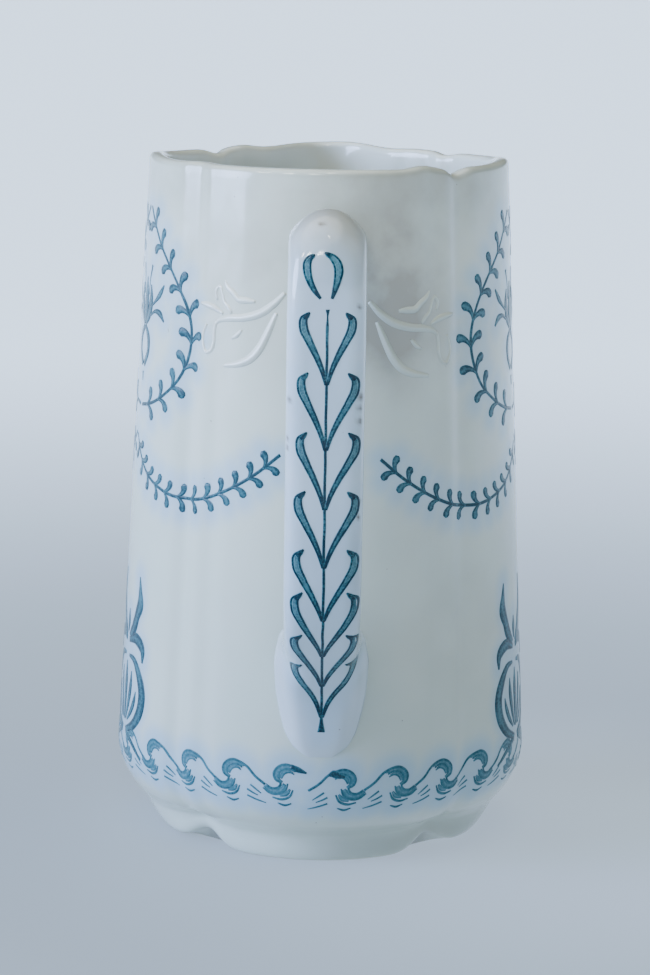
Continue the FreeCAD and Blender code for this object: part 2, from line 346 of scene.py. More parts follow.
def build_handle(material):
    """The strap and the luting pads at its two ends: one smooth form, cut into its three pieces."""
    runs = np.arange(FACE_RUN[0] - APEX_RUN, FACE_RUN[-1] - APEX_RUN, STRAP_STEP)
    rings = np.array([handle_ring(run) for run in runs])
    columns = rings.shape[1]
    whole = make_mesh("whole_strap", rings.reshape(-1, 3), ring_faces(len(rings), columns), material)
    normals = np.array([vertex.normal for vertex in whole.data.vertices]).reshape(rings.shape)
    bpy.data.objects.remove(whole)
    top, bottom = np.searchsorted(runs, (ARM_START, PAD_START))
    cuts = (
        ("upper_luting_pad", 0, top + 1),
        ("handle", top, bottom + 1),
        ("lower_luting_pad", bottom, len(runs)),
    )
    return [strap_piece(name, rings[low:high], normals[low:high], material) for name, low, high in cuts]


def strap_piece(name, rings, normals, material):
    """One length of the handle, closed at both ends and shaded as part of the whole strap."""
    count, columns = rings.shape[:2]
    faces = ring_faces(count, columns)
    faces.append(tuple(range(columns))[::-1])
    faces.append(tuple(range((count - 1) * columns, count * columns)))
    piece = make_mesh(name, rings.reshape(-1, 3), faces, material)
    piece.data.normals_split_custom_set_from_vertices(normals.reshape(-1, 3).tolist())
    return piece


# ---- strokes: printed lines and moulded fronds laid on a surface ----------------------------------------
# A stroke's section as (share of its width, height share, ink share), then its two buried corners.
LINE = [(-0.5, 0.35, 0.45), (-0.28, 0.9, 0.95), (0, 1, 1.0), (0.28, 0.9, 0.95), (0.5, 0.35, 0.45)]
LEAF = [(-0.5, 0.35, 0.65), (-0.36, 0.9, 1.0), (0, 1, 0.65), (0.36, 0.9, 1.0), (0.5, 0.35, 0.65)]
FILL = [(-0.5, 0.35, 0.42), (-0.3, 0.9, 0.36), (0, 1, 0.24), (0.3, 0.9, 0.36), (0.5, 0.35, 0.42)]
BEAD = [(share, math.cos(math.pi * share) ** 2, 0) for share in (-0.46, -0.32, -0.16, 0, 0.16, 0.32, 0.46)]
INK_HEIGHT = 0.05


class Print:
    """Strokes on one surface, gathered into one mesh."""

    def __init__(self, surface, height=INK_HEIGHT, buried=0.12, full_width=None):
        self.surface = surface
        self.height = height
        self.buried = buried
        self.full_width = full_width
        self.points = []
        self.faces = []
        self.ink = []
        self.middles = []

    def stroke(self, path, section=LINE, lift=0.0, shade=1.0, step=0.35):
        """One closed ribbon. The path is (across, along, width), and each end closes on its last ring."""
        curve = spline(path, step)
        direction = np.gradient(curve[:, :2], axis=0)
        direction /= np.linalg.norm(direction, axis=1)[:, None] + 1e-9
        side = np.stack([direction[:, 1], -direction[:, 0]], axis=1)
        ring = [*section, (section[-1][0], None, section[-1][2]), (section[0][0], None, section[0][2])]
        start = len(self.points)
        for (x, y, width), (nx, ny) in zip(curve, side):
            fullness = min(1.0, width / self.full_width) if self.full_width else 1.0
            for share, rise, ink in ring:
                proud = -self.buried if rise is None else self.height * rise * fullness + lift
                at = (x + nx * share * width, y + ny * share * width)
                self.points.append(self.surface(*at, proud))
                self.ink.append(ink * shade)
            self.middles.append(self.surface(x, y, 0.0))
        self.faces += ring_faces(len(curve), len(ring), start)
        last = len(self.points) - len(ring)
        self.faces.append(tuple(range(start, start + len(ring)))[::-1])
        self.faces.append(tuple(range(last, last + len(ring))))

    def build(self, name, material):
        """The mesh object, with its ink shares as a colour attribute."""
        piece = make_mesh(name, self.points, self.faces, material)
        layer = piece.data.color_attributes.new("ink", "FLOAT_COLOR", "POINT")
        colours = np.ones((len(self.ink), 4), np.float32)
        colours[:, :3] = np.array(self.ink)[:, None]
        layer.data.foreach_set("color", colours.ravel())
        return piece


def wall_patch(centre, level, mirror=1):
    """A flat drawing's surface on the wall: x round the body in millimetres from the centre, y up."""
    radius = float(outer_radius(level))

    def surface(x, y, proud):
        theta = math.radians(centre) + mirror * x / radius
        return tuple(wall(theta, level + y, proud))

    return surface


# ---- the handle's print -------------------------------------------------------------------------------
# Each pair of leaves as (run of its root, run of its tips, reach to the left, reach to the right).
LEAF_PAIRS = [
    (32.4, 21.1, 4.4, 4.5), (42.9, 30.7, 4.6, 5.3), (52.5, 40.3, 4.7, 5.6), (62.1, 49.8, 4.9, 5.6),
    (71.9, 59.3, 5.1, 5.7), (81.7, 66.6, 5.3, 5.9), (91.7, 75.6, 5.3, 5.9), (99.6, 85.2, 5.3, 6.0),
]
STEM_X = 0.15
# One leaf from its root to its tip: (share of the reach, share of the run, width in millimetres).
LEAF_SHAPE = [(0.03, -0.02, 0.3), (0.15, 0.16, 0.6), (0.38, 0.38, 0.84), (0.66, 0.6, 1.08),
              (0.86, 0.78, 1.32), (0.86, 0.91, 1.12), (0.64, 1.0, 0.26)]
# The two leaves above the stem, as (across, run, width).
FIRST_LEAVES = [
    [(-1.0, 18.9, 0.25), (-2.0, 17.6, 0.7), (-2.8, 16.0, 0.95), (-3.2, 14.4, 1.2), (-3.2, 13.2, 1.2),
     (-2.8, 12.4, 0.9), (-2.0, 11.9, 0.25)],
    [(0.8, 18.9, 0.25), (1.2, 17.6, 0.7), (1.6, 16.0, 1.05), (1.8, 14.4, 1.35), (1.5, 13.2, 1.3),
     (0.65, 12.2, 0.95), (-0.5, 11.6, 0.3)],
]


EDGE_INSET = 0.1
EDGE_WIDTH = 0.42
EDGE_TIP_WIDTH = 0.24
FINE_LINE_WIDTH = 0.17


def leaf_edge(shape, side):
    """A line along a leaf: -1 and 1 are its two edges, and 0 is its middle."""
    curve = np.array(shape)
    direction = np.gradient(curve[:, :2], axis=0)
    direction /= np.linalg.norm(direction, axis=1)[:, None]
    normal = np.stack([direction[:, 1], -direction[:, 0]], axis=1)
    return curve[:, :2] + normal * side * (curve[:, 2:3] * 0.5 - EDGE_INSET)


def handle_leaf(drawing, shape):
    """A horn-shaped leaf: a pale fill, two inked edges, fine lines between them, and a dark tip and root."""
    drawing.stroke(shape, FILL)
    for share in (-0.34, 0.0, 0.34):
        line = leaf_edge(shape[:-1], share)
        widths = np.full(len(line), FINE_LINE_WIDTH)
        drawing.stroke(np.column_stack([line, widths]), LINE, lift=0.012, shade=0.75)
    for side in (-1, 1):
        edge = leaf_edge(shape, side)
        widths = np.full(len(edge), EDGE_WIDTH)
        widths[-1] = EDGE_TIP_WIDTH
        drawing.stroke(np.column_stack([edge, widths]), LINE, lift=0.02)
    (x, y, _), (under_x, under_y, _) = shape[-1], shape[-2]
    mouth = [(x, y, 0.3), ((x + under_x) / 2, (y + under_y) / 2, 0.95), (under_x, under_y, 0.7)]
    drawing.stroke(mouth, LINE, lift=0.025)
    drawing.stroke([(x, y, 0.6 * width) for x, y, width in shape[:2]], LINE, lift=0.02)


def print_handle():
    """The stem of leaves down the handle."""
    drawing = Print(on_handle)
    for shape in FIRST_LEAVES:
        handle_leaf(drawing, shape)
    for root, tip, left, right in LEAF_PAIRS:
        rise = tip - root
        for reach in (-left, right):
            handle_leaf(drawing, [(STEM_X + reach * x, root + rise * y, width) for x, y, width in LEAF_SHAPE])
    wobble = random.Random(7)
    stem = [(STEM_X + wobble.uniform(-0.05, 0.05), run, 0.5) for run in np.arange(23.0, 98, 2.5)]
    drawing.stroke([(STEM_X, 20.6, 0.75), (STEM_X, 21.6, 0.3), *stem, (STEM_X, 99.6, 0.55)], LINE)
    drawing.stroke([(STEM_X, 99.0, 0.5), (STEM_X, 101.0, 0.7), (STEM_X, 102.8, 1.35)], LINE, lift=0.01)
    return drawing


# ---- prints on the wall -------------------------------------------------------------------------------
STEM_WIDTH = 0.62
# A comma-shaped leaf, step by step: (degrees turned from the stem, share of its width, share of its length).
COMMA = [(24, 0.42, 0.26), (44, 0.68, 0.25), (70, 0.95, 0.22), (96, 0.92, 0.17), (112, 0.3, 0.1)]


def sprig(drawing, stem, spacing, length, leaf_width, start):
    """A stem with a pair of comma-shaped leaves at every node, growing towards the stem's last point."""
    drawing.stroke([(x, y, STEM_WIDTH) for x, y in stem])
    curve = spline([(x, y) for x, y in stem], 0.1)
    runs = run_lengths(curve)
    for run in np.arange(start, runs[-1] - 0.6, spacing):
        node = np.array([np.interp(run, runs, column) for column in curve.T])
        ahead = np.array([np.interp(run + 0.4, runs, column) for column in curve.T])
        heading = math.atan2(ahead[1] - node[1], ahead[0] - node[0])
        for hand in (-1, 1):
            drawing.stroke(comma(node, heading, hand, length, leaf_width), LEAF, lift=0.005)


def comma(node, heading, hand, length, width):
    """A leaf that leaves its stem nearly along it and curls away, rounded at its tip."""
    path = [(node[0], node[1], 0.28)]
    x, y = node
    for turn, share, part in COMMA:
        angle = heading + hand * math.radians(turn)
        x += math.cos(angle) * length * part
        y += math.sin(angle) * length * part
        path.append((x, y, width * share))
    return path


WREATH_SIDE = [(0.5, -15.0), (4.6, -14.3), (10.2, -11.8), (13.5, -9.2), (15.7, -4.6), (16.0, -0.4),
               (14.9, 3.4), (12.9, 6.6), (9.5, 10.2), (6.3, 13.2), (3.5, 16.2), (0.5, 19.5)]
SWAG = [(-19.5, 8.6), (-17.2, 5.6), (-13.2, 2.4), (-8.0, 0.5), (-2.5, -0.3), (3.5, 0.3), (8.6, 2.2),
        (14.5, 5.6), (19.0, 9.2)]
WREATH_LEVEL = 92.0
CARTOUCHE_LEVEL = 30.0


def print_wreath(centre, leaf):
    """A pointed wreath with a small spray of petals and a hanging loop inside it."""
    drawing = Print(wall_patch(centre, WREATH_LEVEL))
    for side in (-1, 1):
        sprig(drawing, [(x * side, y) for x, y in WREATH_SIDE], 4.7, leaf, 1.65, start=2.6)
    spray(drawing)
    return drawing


def spray(drawing):
    """The wreath's middle: a fan of petals with fine stamens, two leafy shoots, and a loop below."""
    drawing.stroke([(0, 7.4, 0.4), (0.1, 4.6, 2.0), (0.1, 1.6, 2.4), (0, -0.8, 0.9)], LEAF)
    for side in (-1, 1):
        drawing.stroke([(0.4 * side, -0.8, 0.8), (1.9 * side, 1.0, 1.9), (2.7 * side, 3.6, 1.9),
                        (2.4 * side, 6.2, 0.4)], LEAF)
        drawing.stroke([(1.4 * side, 4.4, 0.4), (1.7 * side, 7.2, 0.42), (2.6 * side, 9.6, 0.75)])
        drawing.stroke([(2.8 * side, 2.4, 0.4), (4.8 * side, 3.6, 0.7), (6.6 * side, 5.0, 1.2),
                        (8.0 * side, 6.6, 0.4)], LEAF)
        drawing.stroke([(2.6 * side, 0.8, 0.4), (4.8 * side, 1.8, 0.7), (7.0 * side, 1.5, 1.2),
                        (8.4 * side, 0.3, 0.4)], LEAF)
        drawing.stroke([(0.2 * side, -1.2, 0.9), (2.1 * side, -3.0, 1.5), (2.3 * side, -5.4, 1.3),
                        (0.4 * side, -8.0, 1.2)], LEAF)
    drawing.stroke([(-0.1, -9.2, 0.7), (0.1, -10.8, 0.4)])


def print_swag(centre, level, mirror):
    """A hanging sprig between two wreaths."""
    drawing = Print(wall_patch(centre, level, mirror))
    sprig(drawing, SWAG, 3.5, 3.3, 1.45, start=1.6)
    return drawing


def print_cartouche(centre):
    """A pair of leafy scrolls round a palmette, standing on the border."""
    drawing = Print(wall_patch(centre, CARTOUCHE_LEVEL))
    for side in (-1, 1):
        scroll(drawing, side)
    palmette = [[(0, -9.8, 0.5), (0, -6.0, 1.5), (0, -2.0, 1.7), (0, 0.8, 0.4)]]
    palmette.append([(0, 6.2, 0.5), (0, 8.0, 1.5), (0, 10.2, 0.4)])
    for side in (-1, 1):
        palmette.append([(0.7 * side, -9.6, 0.5), (2.0 * side, -6.2, 1.4), (2.8 * side, -2.8, 1.4),
                         (2.9 * side, -0.6, 0.4)])
        palmette.append([(1.6 * side, -9.6, 0.5), (3.6 * side, -7.6, 1.2), (4.9 * side, -5.4, 1.1),
                         (5.4 * side, -3.8, 0.3)])
    for petal in palmette:
        drawing.stroke(petal, LEAF)
    return drawing


def scroll(drawing, side):
    """One half of the cartouche: a flame of leaves above a thick C-shaped curl."""
    flame = [(5.0, 16.8, 0.4), (5.4, 14.4, 1.5), (5.6, 12.0, 2.8), (4.4, 9.8, 2.4), (3.4, 7.8, 2.5),
             (1.0, 5.4, 1.4)]
    drawing.stroke([(x * side, y, width) for x, y, width in flame], LEAF)
    curl = [(0.8, 4.8, 1.0), (4.6, 5.6, 2.2), (7.4, 4.2, 2.0), (7.6, 1.8, 0.6)]
    drawing.stroke([(x * side, y, width) for x, y, width in curl], LEAF)
    outer = [(1.2, 2.0, 0.6), (3.8, 1.7, 1.3), (6.6, -0.8, 2.3), (8.0, -3.8, 2.7), (7.5, -6.8, 2.6),
             (5.0, -9.8, 2.0), (1.0, -11.6, 1.2)]
    drawing.stroke([(x * side, y, width) for x, y, width in outer], LEAF)
    drawing.stroke([(1.4 * side, -11.8, 1.1), (5.4 * side, -13.6, 0.9), (8.6 * side, -15.4, 0.6)], LEAF)


# One wave of the border, breaking towards +x, with its crest at the origin.
WAVE_LINE = [(-1.1, -0.2), (0, 0), (1.34, -0.55), (2.0, -1.6), (1.65, -2.7), (0.75, -3.25), (1.1, -4.0),
             (2.2, -4.3), (3.4, -3.7)]
WAVE_RISE = [(-6.1, -3.7), (-4.3, -2.5), (-2.6, -0.9), (-1.1, -0.2)]
# Its foam lines, the strokes under its slope, and its filled bands.
WAVE_INNER = [
    [(-1.8, -1.2, 0.3), (-0.8, -0.72, 0.42), (0.15, -0.8, 0.44), (1.0, -1.5, 0.44), (1.05, -2.4, 0.34)],
    [(-1.6, -1.65, 0.25), (-0.7, -1.3, 0.38), (0.1, -1.6, 0.38), (0.55, -2.35, 0.28)],
    [(-0.5, -3.3, 0.3), (-0.1, -4.4, 0.5), (1.1, -5.2, 0.55), (2.7, -5.1, 0.5), (3.9, -4.3, 0.25)],
    [(-1.4, -4.4, 0.3), (-0.8, -5.6, 0.5), (0.6, -6.2, 0.5), (2.2, -5.9, 0.3)],
    [(-1.1, -6.9, 0.25), (0.1, -7.3, 0.48), (1.3, -6.9, 0.25)],
]
WAVE_SHADING = [
    [(-5.4, -5.4, 0.2), (-4.4, -4.7, 0.34), (-3.4, -4.0, 0.36)],
    [(-4.8, -5.8, 0.2), (-3.8, -5.4, 0.34), (-2.8, -4.85, 0.36)],
    [(-6.2, -7.1, 0.2), (-4.4, -6.6, 0.36), (-2.8, -6.0, 0.36)],
]
WAVE_BANDS = [
    [(-2.2, -0.9, 0.3), (-0.6, -0.42, 0.8), (0.6, -0.55, 1.1), (1.45, -1.4, 1.25), (1.35, -2.6, 0.9),
     (0.5, -3.2, 0.6)],
    [(-1.4, -1.4, 0.3), (-0.2, -1.15, 0.7), (0.5, -1.7, 0.75), (0.7, -2.5, 0.5)],
    [(0.0, -3.4, 0.7), (0.5, -4.3, 1.0), (1.5, -4.75, 1.1), (2.7, -4.55, 0.85), (3.7, -3.9, 0.4)],
    [(-0.9, -4.3, 0.4), (-0.3, -5.1, 0.85), (0.9, -5.5, 0.5)],
]
PITCH = 9.6
WAVES_EACH_SIDE = 12
BORDER_LEVEL = 18.6
BORDER_RISE_LEFT = 0.7
# Where the first crest on each side stands, from the handle's middle.
FIRST_CREST_RIGHT = 4.2
FIRST_CREST_LEFT = 5.9


def print_border():
    """The breaking waves round the bottom of the body, turning away from the handle on both sides."""
    right = Print(wall_patch(0, BORDER_LEVEL))
    left = Print(wall_patch(0, BORDER_LEVEL + BORDER_RISE_LEFT, -1))
    for index in range(WAVES_EACH_SIDE):
        crest_right = FIRST_CREST_RIGHT + PITCH * index
        crest_left = FIRST_CREST_LEFT + PITCH * index
        wave(right, crest_right, WAVE_RISE + WAVE_LINE[1:])
        wave(left, crest_left, WAVE_RISE + WAVE_LINE[1:] if index else WAVE_LINE)
        shade_wave(right, crest_right)
        if index:
            shade_wave(left, crest_left)
    right.stroke([(1.6, -0.9, 0.5), (2.4, -0.7, 1.4), (3.3, -1.1, 1.0), (4.3, -1.3, 0.4)], lift=0.015)
    left.stroke([(5.0, -0.3, 0.9), (3.6, -0.85, 1.0), (2.2, -1.35, 0.3)], lift=0.01)
    return right, left


def wave(drawing, at, outline):
    """One wave with its filled bands and foam lines."""
    for path in WAVE_BANDS:
        drawing.stroke([(at + x, y, width) for x, y, width in path], FILL, shade=1.6, lift=-0.01)
    drawing.stroke([(at + x, y, 0.48) for x, y in outline], lift=0.01, shade=0.74)
    for path in WAVE_INNER:
        drawing.stroke([(at + x, y, width) for x, y, width in path], shade=0.72)


def shade_wave(drawing, at):
    """The slanting strokes under a wave's slope."""
    for path in WAVE_SHADING:
        drawing.stroke([(at + x, y, width) for x, y, width in path], shade=0.64)


# ---- moulded scrolls beside the handle -------------------------------------------------------------------
# Their lines as (distance round the wall from the handle's middle, height, width).
FRONDS = [
    [(7.2, 98.2, 0.8), (9.2, 96.2, 1.4), (11.6, 94.6, 1.6), (14.6, 93.7, 1.5), (18.2, 93.3, 1.3),
     (20.0, 92.8, 0.9), (21.2, 91.6, 0.4)],
    [(8.6, 94.8, 0.7), (9.4, 93.0, 1.2), (10.4, 90.8, 1.5), (11.8, 88.3, 1.7), (13.3, 86.8, 1.7),
     (15.0, 86.0, 1.5), (18.6, 85.3, 0.7)],
    [(12.6, 96.5, 0.6), (14.2, 96.6, 1.2), (15.8, 96.7, 1.3), (17.0, 97.7, 1.2), (18.4, 98.7, 1.0),
     (19.0, 99.6, 0.5)],
    [(17.2, 94.3, 0.6), (18.0, 95.2, 0.9), (18.9, 96.0, 0.8), (19.5, 97.4, 0.7), (20.2, 98.6, 0.7),
     (20.9, 97.8, 0.7), (20.6, 96.3, 0.6)],
    [(19.2, 94.0, 0.6), (21.2, 94.9, 1.2), (23.0, 95.3, 1.1), (24.6, 95.4, 0.5)],
    [(15.0, 91.6, 0.5), (15.9, 90.7, 1.0), (17.0, 90.0, 0.5)],
    [(20.6, 92.6, 0.7), (21.0, 91.0, 0.8), (21.0, 89.2, 0.8), (21.6, 87.6, 0.8), (22.6, 87.2, 0.8),
     (23.4, 88.4, 0.8), (23.5, 90.4, 0.8), (22.7, 92.0, 0.6)],
]


SPRAY_LEVEL = 92.0
RELIEF_HEIGHT = 0.42


def build_scroll(name, mirror, raised, material):
    """A spray of rounded fronds standing on the wall."""
    surface = wall_patch(0, SPRAY_LEVEL, mirror)
    drawing = Print(surface, height=RELIEF_HEIGHT, buried=0.35, full_width=1.6)
    for frond in FRONDS:
        drawing.stroke([(x, z - SPRAY_LEVEL + raised, width) for x, z, width in frond], BEAD, step=0.3)
    return make_mesh(name, drawing.points, drawing.faces, material)


# ---- materials ----------------------------------------------------------------------------------------
# Each glaze as two close whites, and each ink as its pale, middle and dark colours.
PORCELAIN = ((0.615, 0.662, 0.568), (0.575, 0.628, 0.545))
HANDLE_GLAZE = ((0.57, 0.63, 0.65), (0.54, 0.61, 0.64))
WALL_INK = ((0.22, 0.38, 0.44), (0.052, 0.165, 0.2), (0.014, 0.05, 0.068))
HANDLE_INK = ((0.2, 0.36, 0.4), (0.055, 0.175, 0.2), (0.006, 0.027, 0.042))
# Painted light: a brighter white for the body's inside and for the scrolls' painted highlight.
INSIDE_PAINTED_LIGHT = (0.7, 0.735, 0.67)
HAZE = (0.33, 0.495, 0.62)
# The stain colour, also used for painted shade.
TEA_STAIN_AND_SHADE = (0.31, 0.295, 0.235)
# The dirt colour, also used for painted shade in the foot's notches.
DIRT_AND_SHADE = (0.12, 0.085, 0.045)


def node_tree(name):
    """A new material, its node tree and its shader."""
    material = bpy.data.materials.new(name)
    material.use_nodes = True
    tree = material.node_tree
    return material, tree, tree.nodes["Principled BSDF"]


def noise(tree, scale, detail=3.0):
    """Noise over the object's own space, with the scale in cycles per metre."""
    place = tree.nodes.new("ShaderNodeTexCoord")
    node = tree.nodes.new("ShaderNodeTexNoise")
    node.inputs["Scale"].default_value = scale
    node.inputs["Detail"].default_value = detail
    tree.links.new(place.outputs["Object"], node.inputs["Vector"])
    return node.outputs["Fac"]


def ramp(tree, source, low, high, to_low=0.0, to_high=1.0):
    """A share that goes from to_low to to_high as the source goes from low to high."""
    node = tree.nodes.new("ShaderNodeMapRange")
    node.interpolation_type = "SMOOTHSTEP"
    for socket, value in (("From Min", low), ("From Max", high), ("To Min", to_low), ("To Max", to_high)):
        node.inputs[socket].default_value = value
    tree.links.new(source, node.inputs["Value"])
    return node.outputs["Result"]


def times(tree, first, second):
    """The product of two shares."""
    node = tree.nodes.new("ShaderNodeMath")
    node.operation = "MULTIPLY"
    for socket, value in zip(node.inputs, (first, second)):
        if isinstance(value, (int, float)):
            socket.default_value = value
        else:
            tree.links.new(value, socket)
    return node.outputs["Value"]


def blend(tree, share, low, high):
    """A colour between two, each a colour or a node's output."""
    node = tree.nodes.new("ShaderNodeMix")
    node.data_type = "RGBA"
    tree.links.new(share, node.inputs["Factor"])
    for socket, colour in ((node.inputs["A"], low), (node.inputs["B"], high)):
        if isinstance(colour, tuple):
            socket.default_value = (*colour, 1)
        else:
            tree.links.new(colour, socket)
    return node.outputs["Result"]


def bump(tree, shader, share, strength, distance):
    """Small unevenness in the glaze."""
    node = tree.nodes.new("ShaderNodeBump")
    node.inputs["Strength"].default_value = strength
    node.inputs["Distance"].default_value = distance
    tree.links.new(share, node.inputs["Height"])
    tree.links.new(node.outputs["Normal"], shader.inputs["Normal"])


def attribute(tree, name):
    """A colour attribute's four channels."""
    node = tree.nodes.new("ShaderNodeAttribute")
    node.attribute_name = name
    split = tree.nodes.new("ShaderNodeSeparateColor")
    tree.links.new(node.outputs["Color"], split.inputs["Color"])
    return [*(split.outputs[channel] for channel in ("Red", "Green", "Blue")), node.outputs["Alpha"]]


def glaze(name, clear, cloudy):
    """Glazed porcelain: two close whites, a brighter inside and brighter scroll fronds as painted light, blue
    haze round the print, stains with painted shade, and dirt with painted shade.
    """
    material, tree, shader = node_tree(name)
    halo, stain_and_shade, grime_and_shade, inside = attribute(tree, "tint")
    colour = blend(tree, ramp(tree, noise(tree, 45.0), 0.35, 0.65), clear, cloudy)
    # Painted light: the inside share brightens the body's inside and paints the scrolls' highlight.
    colour = blend(tree, inside, colour, INSIDE_PAINTED_LIGHT)
    colour = blend(tree, times(tree, halo, 0.72), colour, HAZE)
    patches = ramp(tree, noise(tree, 70.0, 5.0), 0.34, 0.66, 0.4, 1.0)
    # Stains together with painted shade: a painted shadow beside the handle and painted shade on the body's
    # right.
    colour = blend(tree, times(tree, stain_and_shade, patches), colour, TEA_STAIN_AND_SHADE)
    # Dirt specks, and painted shade in the foot's notches.
    colour = blend(tree, grime_and_shade, colour, DIRT_AND_SHADE)
    specks = ramp(tree, noise(tree, 900.0, 1.0), 0.8, 0.84, 0.0, 0.5)
    colour = blend(tree, specks, colour, DIRT_AND_SHADE)
    tree.links.new(colour, shader.inputs["Base Color"])
    shine = ramp(tree, noise(tree, 260.0), 0.3, 0.7, 0.1, 0.2)
    tree.links.new(shine, shader.inputs["Roughness"])
    shader.inputs["IOR"].default_value = 1.5
    shader.inputs["Subsurface Weight"].default_value = 0.08
    shader.inputs["Subsurface Radius"].default_value = (1.0, 0.9, 0.8)
    shader.inputs["Subsurface Scale"].default_value = 0.002
    shader.inputs["Coat Weight"].default_value = 0.4
    shader.inputs["Coat Roughness"].default_value = 0.05
    bump(tree, shader, noise(tree, 130.0, 2.0), 0.12, 0.0006)
    return material


def ink(name, pale, mid, dark):
    """Printed colour under the glaze: paler where there is less ink, broken by fine dots."""
    material, tree, shader = node_tree(name)
    amount = attribute(tree, "ink")[0]
    dots = ramp(tree, noise(tree, 2600.0, 1.0), 0.38, 0.6, 0.82, 1.05)
    amount = times(tree, amount, dots)
    patchy = ramp(tree, noise(tree, 320.0, 2.0), 0.25, 0.6, 0.82, 1.05)
    amount = times(tree, amount, patchy)
    colour = blend(tree, ramp(tree, amount, 0.05, 0.5), pale, mid)
    colour = blend(tree, ramp(tree, amount, 0.5, 0.95), colour, dark)
    tree.links.new(colour, shader.inputs["Base Color"])
    shader.inputs["Roughness"].default_value = 0.16
    shader.inputs["Specular IOR Level"].default_value = 0.18
    bump(tree, shader, noise(tree, 130.0, 2.0), 0.12, 0.0006)
    return material


# ---- tints by place -----------------------------------------------------------------------------------
def haze_round(points, middles, near=0.3, far=4.2):
    """1 beside a printed stroke, fading to 0 a little way off."""
    tree = KDTree(len(middles))
    for index, place in enumerate(middles):
        tree.insert(place, index)
    tree.balance()
    away = np.array([tree.find(point)[2] for point in points])
    return 1 - smooth((away - near) / (far - near))


# How strongly each place on the body is stained, with a painted shadow beside the handle and painted shade on
# its right, how much darker the inside is low down, and how dark the foot's notches are painted as shade.
UPPER_STAIN = 0.62
RIM_STAIN = 0.5
BESIDE_STAIN_AND_SHADOW = 1.15
RIGHT_SIDE_SHADE = 0.24
FOOT_STAIN = 0.22
LOW_INSIDE_DARKENING = 0.22
NOTCH_SHADE = 0.6


def tint_body(piece, middles):
    """Haze round the prints; stains under the rim, low down and by the handle, with a painted shadow there;
    painted shade on the right and in the notches; the inside darker low down.
    """
    points = np.array([vertex.co for vertex in piece.data.vertices]) / MM
    theta = np.arctan2(points[:, 0], -points[:, 1])
    height = points[:, 2]
    inside = np.append(np.repeat(section_rows()[:, 3], COLUMNS), (0, 1))
    outside = 1 - inside
    halo = haze_round(points, middles) * outside
    upper = UPPER_STAIN * bell(theta, 0, 38) * smooth((height - 78) / 22)
    # Stains right of the handle, together with a painted shadow of the handle.
    beside = BESIDE_STAIN_AND_SHADOW * bell(theta, 20, 13) * np.exp(-((height - 98) / 13) ** 2)
    # Painted shade on the body's right, the side away from the window light.
    right_shade = RIGHT_SIDE_SHADE * bell(theta, 44, 32) * smooth((height - 20) / 20)
    rim = RIM_STAIN * smooth((height - 106) / 12)
    wall_stain_and_shade = np.clip(np.maximum(upper, rim) + beside + right_shade, 0, 1.5) * outside
    foot = FOOT_STAIN * (1 - smooth((height - 2.0) / 9)) * outside
    # The inside gets darker towards the bottom.
    low_inside = LOW_INSIDE_DARKENING * inside * (1 - smooth((height - 6) / 60))
    stain_and_shade = np.clip(wall_stain_and_shade + foot + low_inside, 0, 1.4)
    # Painted shade in the foot's notches, darkening them under their arches.
    notch = sum(bell(theta, centre, 4) for centre in FOOT_NOTCHES) * (1 - smooth(height / 5)) * outside
    set_tint(piece, np.stack([halo, stain_and_shade, NOTCH_SHADE * notch, inside], axis=1))


# Specks on the handle, as (across, run, size).
GRIME_SPOTS = [(5.6, 38.5, 0.5), (5.7, 34.6, 0.7), (5.5, 36.4, 0.35), (5.6, 54.0, 0.35), (5.7, 51.4, 0.3),
               (-5.8, 35.2, 0.4), (-6.0, 41.5, 0.3), (-6.0, 43.0, 0.35), (5.3, 20.2, 0.25), (-1.0, 6.2, 0.3)]


def tint_handle(piece, middles):
    """Haze round the handle's print, a warmer top, and dirt specks along its edges."""
    points = np.array([vertex.co for vertex in piece.data.vertices]) / MM
    halo = 0.5 * haze_round(points, middles, 1.0, 5.0)
    grime_and_shade = np.zeros(len(points))
    for across, run, size in GRIME_SPOTS:
        spot = np.array(on_handle(across, run, 0.0))
        away = np.linalg.norm(points - spot, axis=1)
        grime_and_shade = np.maximum(grime_and_shade, 1 - smooth(away / (size + 0.45)))
    warm = 0.6 * smooth((points[:, 2] - 98) / 12)
    set_tint(piece, np.stack([halo, warm, grime_and_shade, 0 * grime_and_shade], axis=1))


# ---- stage, lights and camera ---------------------------------------------------------------------------
def distance(tree, place, centre):
    """How far a point is from a centre, in metres."""
    node = tree.nodes.new("ShaderNodeVectorMath")
    node.operation = "DISTANCE"
    node.inputs[1].default_value = centre
    tree.links.new(place.outputs["Object"], node.inputs[0])
    return node.outputs["Value"]


TABLE_REACH = 14.0
# The table's glow, which is painted light: a painted pool of light at a bright spot on the jug's right, its
# glow near the jug and far away, and its colours, darker near the jug as painted shade.
GLOW_BESIDE = (0.44, 0.55, 0.69)
GLOW_NEAR = (0.26, 0.32, 0.39)
GLOW_FAR = (0.8, 1.0, 1.3)
TABLE_NEAR = (0.2, 0.24, 0.29)
TABLE_FAR = (0.6, 0.72, 0.86)
BRIGHT_SPOT = (0.055, -0.02, 0)


